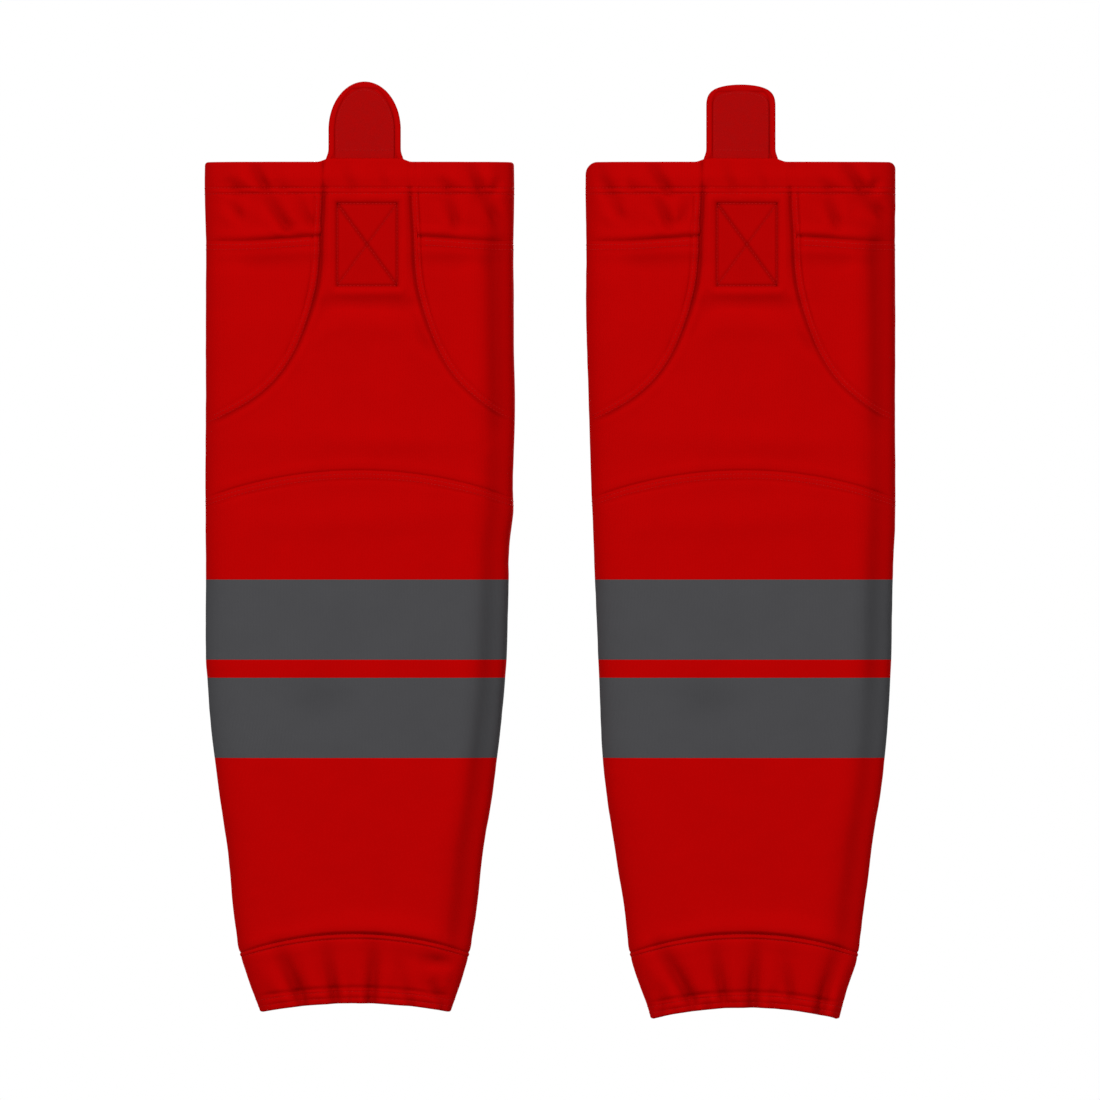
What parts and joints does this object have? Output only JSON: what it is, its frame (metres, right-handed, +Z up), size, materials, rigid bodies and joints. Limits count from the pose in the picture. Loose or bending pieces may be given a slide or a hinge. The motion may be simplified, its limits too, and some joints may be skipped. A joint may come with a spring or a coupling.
{
  "type": "pair of hockey socks",
  "caption": "Pair of knitted ice-hockey socks: open leg tubes with level stripes, shaped knee panels, gathered ankle cuffs and fold-over fastening tabs.",
  "frame": {"origin": "on the ground, at the middle of the pair's bounding box", "axes": "+Z up the leg, +X across the pair from the left sock to the right one, -Y the shin side, where the box stitching is"},
  "size_m": [0.5765, 0.0735, 0.783],
  "materials": {
    "red_knit": "fine polyester knit, matt, slight sheen",
    "grey_knit": "fine polyester mesh knit, matt",
    "strap": "doubled knit over webbing",
    "tape": "brushed fastening tape, short pile",
    "thread": "twisted polyester thread",
    "elastic": "braided elastic"
  },
  "bodies": {
    "left_sock": {"left_top_hem": "red_knit", "left_top_elastic": "elastic", "left_knee_panel": "red_knit", "left_yoke_left": "red_knit", "left_yoke_right": "red_knit", "left_thigh_panel_left": "red_knit", "left_thigh_panel_right": "red_knit", "left_shin_panel": "red_knit", "left_stripe_upper": "grey_knit", "left_stripe_middle": "red_knit", "left_stripe_lower": "grey_knit", "left_lower_leg_panel": "red_knit", "left_ankle_cuff": "red_knit", "left_ankle_hem": "red_knit", "left_ankle_elastic": "elastic", "left_top_hem_stitching": "thread", "left_yoke_stitching": "thread", "left_knee_stitching": "thread", "left_shin_stitching": "thread", "left_ankle_seam_stitching": "thread", "left_ankle_hem_stitching": "thread", "left_tab_anchor": "strap", "left_box_stitching": "thread", "left_back_seam": "thread"},
    "left_tab": {"left_tab": "strap", "left_tab_tape": "tape"},
    "right_sock": {"right_top_hem": "red_knit", "right_top_elastic": "elastic", "right_knee_panel": "red_knit", "right_yoke_left": "red_knit", "right_yoke_right": "red_knit", "right_thigh_panel_left": "red_knit", "right_thigh_panel_right": "red_knit", "right_shin_panel": "red_knit", "right_stripe_upper": "grey_knit", "right_stripe_middle": "red_knit", "right_stripe_lower": "grey_knit", "right_lower_leg_panel": "red_knit", "right_ankle_cuff": "red_knit", "right_ankle_hem": "red_knit", "right_ankle_elastic": "elastic", "right_top_hem_stitching": "thread", "right_yoke_stitching": "thread", "right_knee_stitching": "thread", "right_shin_stitching": "thread", "right_ankle_seam_stitching": "thread", "right_ankle_hem_stitching": "thread", "right_tab_anchor": "strap", "right_box_stitching": "thread", "right_back_seam": "thread"},
    "right_tab": {"right_tab": "strap", "right_tab_tape": "tape"}
  },
  "joints": [
    {"name": "left_tab_fold", "type": "hinge", "parent": "left_sock", "child": "left_tab", "pos_m": [-0.1556, -0.0352, 0.719], "axis": [1, 0, 0], "range_deg": [0, 175]},
    {"name": "pair_spacing", "type": "slide", "parent": "left_sock", "child": "right_sock", "axis": [1, 0, 0], "range_m": [-0.055, 0.15]},
    {"name": "right_tab_fold", "type": "hinge", "parent": "right_sock", "child": "right_tab", "pos_m": [0.1585, -0.0352, 0.719], "axis": [1, 0, 0], "range_deg": [0, 175]}
  ]
}
